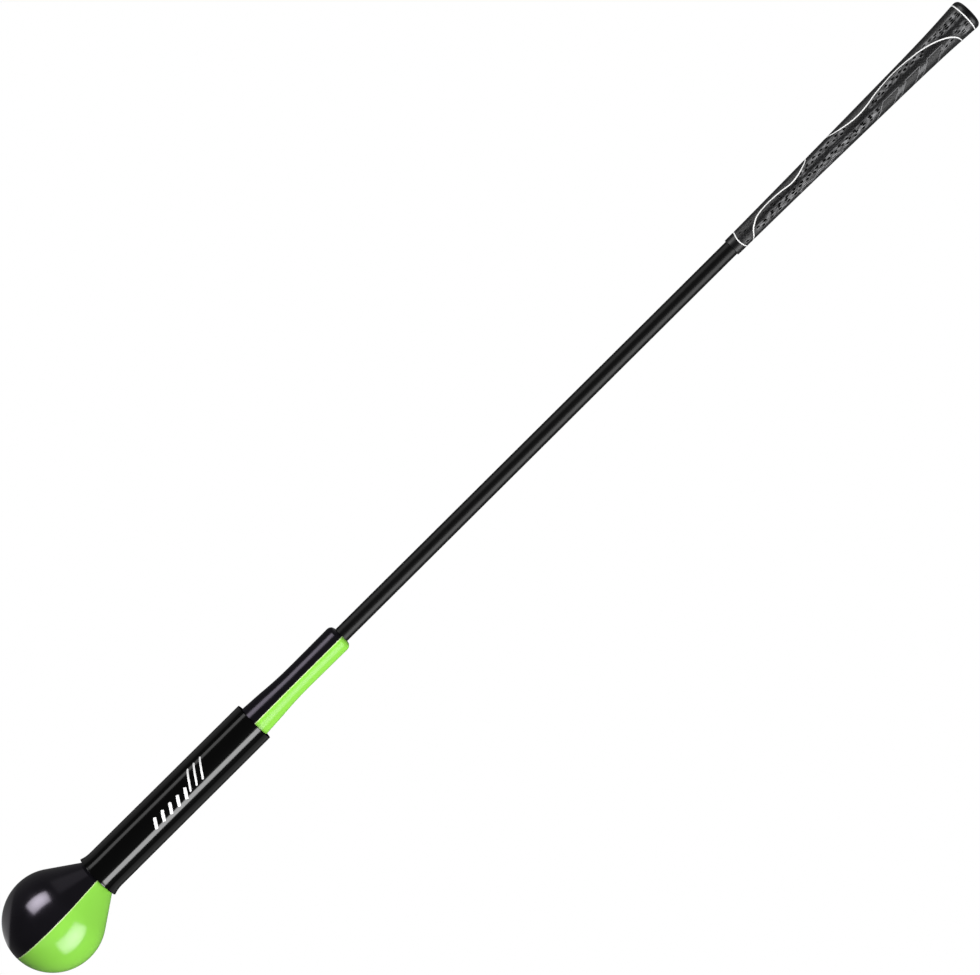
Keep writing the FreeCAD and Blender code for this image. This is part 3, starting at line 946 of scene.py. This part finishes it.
def capOutline(values):
    low = gripHigh.z
    high = capHigh.z
    r = values["radius"]
    edge = values["edge"]
    vent = values["vent"]
    groove = values["groove"]
    seat = values["lowEdge"]
    ring = values["ring"]
    corner = values["ventEdge"]
    stem = grip["bore"] - values["play"]
    line = [(r - seat, low), (r - 0.2 * seat, low + 0.3 * seat), (r, low + seat)]
    line += roundCorner((r - edge, high - edge), edge, 0, 90, 14)
    # a shallow ring round the vent
    line += [(ring, high), (ring - groove, high - groove), (ring - 2 * groove, high)]
    line += roundCorner((vent + corner, high - corner), corner, 90, 180, 4)
    line += [(vent, capLow.z), (stem, capLow.z), (stem, low)]
    return line


cap = turned("end_cap", capOutline(endCap), endCap["segments"], plainRubber)
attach(cap, "grip")
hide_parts("grip_end_cap")

# plain collar at the grip's mouth, a hair proud of the textured skin
collarSizes = {"heights": (0.4, 2, 4, 6, 8.2), "proud": 0.06 * mm, "inner": 7.0 * mm, "foot": 0.1 * mm,
               "top": 8.4 * mm}
proud = collarSizes["proud"]
collarLine = [(valueAt(gripCurve, s * mm) + proud, mouthZ + s * mm) for s in collarSizes["heights"]]
collarLine += [(collarSizes["inner"], mouthZ + collarSizes[end]) for end in ("top", "foot")]
collar = turned("grip_collar", collarLine, grip["segments"], plainRubber)
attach(collar, "grip")
print("end cap and collar made")


# print on the sleeve: a plain row of slanted bars, then three longer strokes
printBars = {"Pitch": 7.2 * mm, "Length": 9.5 * mm, "Width": 2.5 * mm, "Height": 0.12 * mm, "Turn": 1.0,
             "Roundness": 0.2}
# the long strokes stand higher, so that their straight spans clear the round sleeve
printSweeps = dict(printBars, Pitch=5.4 * mm, Length=19 * mm, Width=1.6 * mm, Height=0.26 * mm)


def printGuide(low, high, angle):
    # low and high are mm above the pole, the angle is from the front of the sleeve
    turn = math.radians(viewAzimuth + angle)
    return [[ringPoint(sleeve["radius"], greenLow.z + h * mm, turn) for h in (low, high)]]


sleevePrint = wrapMarks("sleeve_print", printGuide(148, 180, 7), neckSleeve, printBars, printInk)
sleeveSweeps = wrapMarks("sleeve_print_sweeps", printGuide(188.6, 201.6, -12), neckSleeve, printSweeps,
                         printInk)
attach(sleeveSweeps, "head")
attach(sleevePrint, "head")
print("sleeve print made")


# pieces hidden in the head and under the grip keep their own shape
hiddenFinishes = {"swing_weight": castIron, "weight_pin": turnedSteel, "neck_screws": turnedSteel,
                  "grip_tape": crepeTape}
for node, material in hiddenFinishes.items():
    part = frame["nodes"][node]
    part.data.materials.clear()
    part.data.materials.append(material)


# camera: square to the stick, rolled so that the grip points to the upper right
stickView = {
    "azimuth": viewAzimuth,
    "roll": 45.2,
    "distance": 3.5,
    "widthAtStick": 0.7419,
    "aimZ": -0.386,
    "sensor": 36.0,
}


def roundAbout(azimuth, distance, z):
    a = math.radians(azimuth)
    return Vector((math.sin(a) * distance, -math.cos(a) * distance, z))


def makeCamera(values):
    data = bpy.data.cameras.new("camera")
    data.sensor_width = values["sensor"]
    data.lens = values["sensor"] * values["distance"] / values["widthAtStick"]
    data.clip_start = 0.1
    data.clip_end = 50
    camera = bpy.data.objects.new("camera", data)
    scene.collection.objects.link(camera)
    camera.location = roundAbout(values["azimuth"], values["distance"], values["aimZ"])
    look = Vector((0, 0, values["aimZ"])) - camera.location
    level = look.to_track_quat("-Z", "Y")
    roll = Matrix.Rotation(math.radians(values["roll"]), 3, "Z")
    camera.rotation_euler = (level.to_matrix() @ roll).to_euler()
    return camera


scene.camera = makeCamera(stickView)


# floor, well below the bulb
floorSizes = {"below": 0.11, "radius": 0.45, "thick": 0.01, "glow": 0.4}
floorTop = cadBounds[0].z - floorSizes["below"]
floorLow = floorTop - floorSizes["thick"]
floorRim = floorSizes["radius"]
floorOutline = [(0.0, floorTop), (floorRim, floorTop), (floorRim, floorLow), (0.0, floorLow)]
floorMaterial = paint("pale_studio_floor", "#f6f6f5", "#f0f0ee", 0.8)
floorShader = floorMaterial.node_tree.nodes["Principled BSDF"]
floorShader.inputs["Emission Color"].default_value = hexColour("#f6f6f5")
floorShader.inputs["Emission Strength"].default_value = floorSizes["glow"]
floor = turned("floor", floorOutline, 96, floorMaterial, closed=False)
floor.visible_glossy = False  # the stick doesn't mirror it
floor.visible_diffuse = False


# light: each box has its azimuth from the camera, distance, height of its middle, width, height and radiance
headBoxes = {
    "head_left_box": (-56, 1.5, -0.62, 0.98, 1.5, 12.0),
    "head_right_box": (61, 1.5, -0.70, 1.3, 2.1, 6.9),
}
sleeveBoxes = {
    "sleeve_right_strip": (46, 1.5, -0.9, 0.7, 1.7, 8.6),
    "sleeve_left_strip": (-64, 1.5, -0.9, 0.46, 1.7, 1.5),
    "sleeve_rim_left": (-118, 1.5, -0.8, 1.3, 1.7, 0.13),
    "sleeve_rim_right": (112, 1.5, -0.8, 1.3, 1.7, 0.24),
}
rodBoxes = {
    "rod_left_box": (-72, 1.5, -0.4, 1.5, 1.7, 0.8),
    "rod_right_box": (60, 1.5, -0.4, 1.6, 1.7, 2.5),
}
gripBoxes = {
    "grip_left_box": (-62, 1.5, 0.0, 1.0, 1.4, 4.2),
    "grip_right_box": (66, 1.5, 0.0, 1.25, 1.4, 4.6),
}
markBoxes = {
    "mark_front_box": (0, 1.8, -0.35, 1.6, 1.8, 3.4),
}
backBox = (180, 1.6, -0.4, 0.8, 2.2, 2.6)
backFill = {"azimuth": 180, "distance": 1.4, "z": -0.75, "aim": -0.8, "size": 1.0, "radiance": 4.0}
fillValues = {"azimuth": 20, "distance": 1.1, "z": -1.7, "aim": -0.85, "size": 0.9, "radiance": 2.7}
boxGlow = {"edge": 0.12, "hotSpread": 0.95}


def glowTree(data, values, even):
    # a cloth-fronted box: brightest in the middle, and soft at its edges
    data.use_nodes = True
    tree = data.node_tree
    emission = tree.nodes["Emission"]
    spot = addNode(tree, "ShaderNodeNewGeometry").outputs["Parametric"]
    centred = calculateVector(tree, "SUBTRACT", spot, (0.5, 0.5, 0.0))
    parts = splitParts(tree, centred)
    fades = []
    for axis in (0, 1):
        reach = calculate(tree, "ABSOLUTE", parts[axis])
        fades.append(remap(tree, reach, 0.5, 0.5 - values["edge"], soft=True))
    level = calculate(tree, "MULTIPLY", *fades)
    if not even:
        hot = remap(tree, calculateVector(tree, "LENGTH", centred), values["hotSpread"], 0.0, soft=True)
        level = calculate(tree, "MULTIPLY", level, hot)
    tree.links.new(level, emission.inputs["Strength"])


def makeBox(name, azimuth, distance, z, width, height, radiance, even=True):
    data = bpy.data.lights.new(name, "AREA")
    data.shape = "RECTANGLE"
    data.size = width
    data.size_y = height
    data.energy = radiance * math.pi * width * height
    glowTree(data, boxGlow, even)
    lamp = bpy.data.objects.new(name, data)
    lamp.location = roundAbout(viewAzimuth + azimuth, distance, z)
    lamp.rotation_euler = (Vector((0, 0, z)) - lamp.location).to_track_quat("-Z", "Y").to_euler()
    lamp.visible_camera = False
    scene.collection.objects.link(lamp)
    return lamp


def fillLight(name, values, pieces):
    # lifts the colour without showing as a reflection
    group = bpy.data.collections.new(name + "_lit")
    for piece in pieces:
        group.objects.link(piece)
    lamp = makeBox(name, values["azimuth"], values["distance"], values["z"], values["size"],
                   values["size"], values["radiance"])
    lamp.rotation_euler = (Vector((0, 0, values["aim"])) - lamp.location).to_track_quat("-Z", "Y").to_euler()
    lamp.visible_glossy = False
    lamp.light_linking.receiver_collection = group


def lightGroup(name, boxes, pieces, even=True):
    # the boxes light only these pieces
    group = bpy.data.collections.new(name)
    for piece in pieces:
        group.objects.link(piece)
    for boxName, values in boxes.items():
        makeBox(boxName, *values, even=even).light_linking.receiver_collection = group


rodPieces = [o for o in scene.objects if o.name.startswith("rod_")]
gripPieces = [gripBody, gripBars, farBars, cap, collar] + gripRibs
lightGroup("head_lit", headBoxes, [greenHalf, blackHalf, floor], even=False)
lightGroup("sleeve_lit", sleeveBoxes, [neckSleeve, sleevePrint, sleeveSweeps])
lightGroup("rod_lit", rodBoxes, rodPieces)
lightGroup("grip_lit", gripBoxes, gripPieces + [gripLines])
lightGroup("marks_lit", markBoxes, [gripLines, sleevePrint, sleeveSweeps])
lightGroup("back_lit", {"back_box": backBox}, rodPieces + gripPieces + [gripLines])
fillLight("green_fill", fillValues, [greenHalf])
fillLight("back_fill", backFill, [greenHalf, blackHalf, neckSleeve])

studio = {"turnsAt": -0.1, "fullAt": 0.8, "front": 0.05, "back": 0.09}
sideways = Vector((math.cos(math.radians(viewAzimuth)), math.sin(math.radians(viewAzimuth)), 0.0))
upward = Vector((0.0, 0.0, 1.0))
screenLeft = -(sideways + upward).normalized()
mirroredBoards = [
    # a side board that shows along the bulb's far left edge
    {"glow": 0.5, "edges": [(screenLeft, 0.79, 0.83), (screenLeft, 1.04, 0.84), (sideways, -0.98, -0.5)]},
    # a dim overhead board that shows on the cone, on the black side
    {"glow": 0.3, "edges": [(upward, 0.42, 0.55), (sideways, -0.24, -0.36), (sideways, -0.66, -0.54)]},
]


def makeWorld():
    # a white backdrop for the eye; the object itself sees it only behind, and a dim studio elsewhere
    world = bpy.data.worlds.new("studio")
    world.use_nodes = True
    scene.world = world
    tree = world.node_tree
    tree.nodes.clear()
    coords = addNode(tree, "ShaderNodeTexCoord").outputs["Generated"]
    away = roundAbout(viewAzimuth + 180, 1.0, 0.0)
    facing = calculateVector(tree, "DOT_PRODUCT", coords, away)
    level = remap(tree, facing, studio["turnsAt"], studio["fullAt"], studio["front"], studio["back"], True)
    # two boards, each placed by the direction of the surface that mirrors it to the viewer
    toViewer = roundAbout(viewAzimuth, 1.0, 0.0)
    mirror = calculateVector(tree, "NORMALIZE", calculateVector(tree, "ADD", coords, toViewer))
    for board in mirroredBoards:
        share = 1.0
        for direction, low, high in board["edges"]:
            reach = calculateVector(tree, "DOT_PRODUCT", mirror, direction)
            share = calculate(tree, "MULTIPLY", share, remap(tree, reach, low, high, soft=True))
        level = calculate(tree, "MULTIPLY_ADD", share, board["glow"], level)
    seen = addNode(tree, "ShaderNodeLightPath").outputs["Is Camera Ray"]
    glow = addNode(tree, "ShaderNodeMix", {"data_type": "FLOAT"}, {0: seen, 2: level, 3: 1.0}).outputs[0]
    glow = addNode(tree, "ShaderNodeBackground", None, {"Color": (1, 1, 1, 1), "Strength": glow})
    addNode(tree, "ShaderNodeOutputWorld", None, {"Surface": glow.outputs[0]})


makeWorld()
scene.view_settings.view_transform = "Standard"
print("camera, floor and light ready")
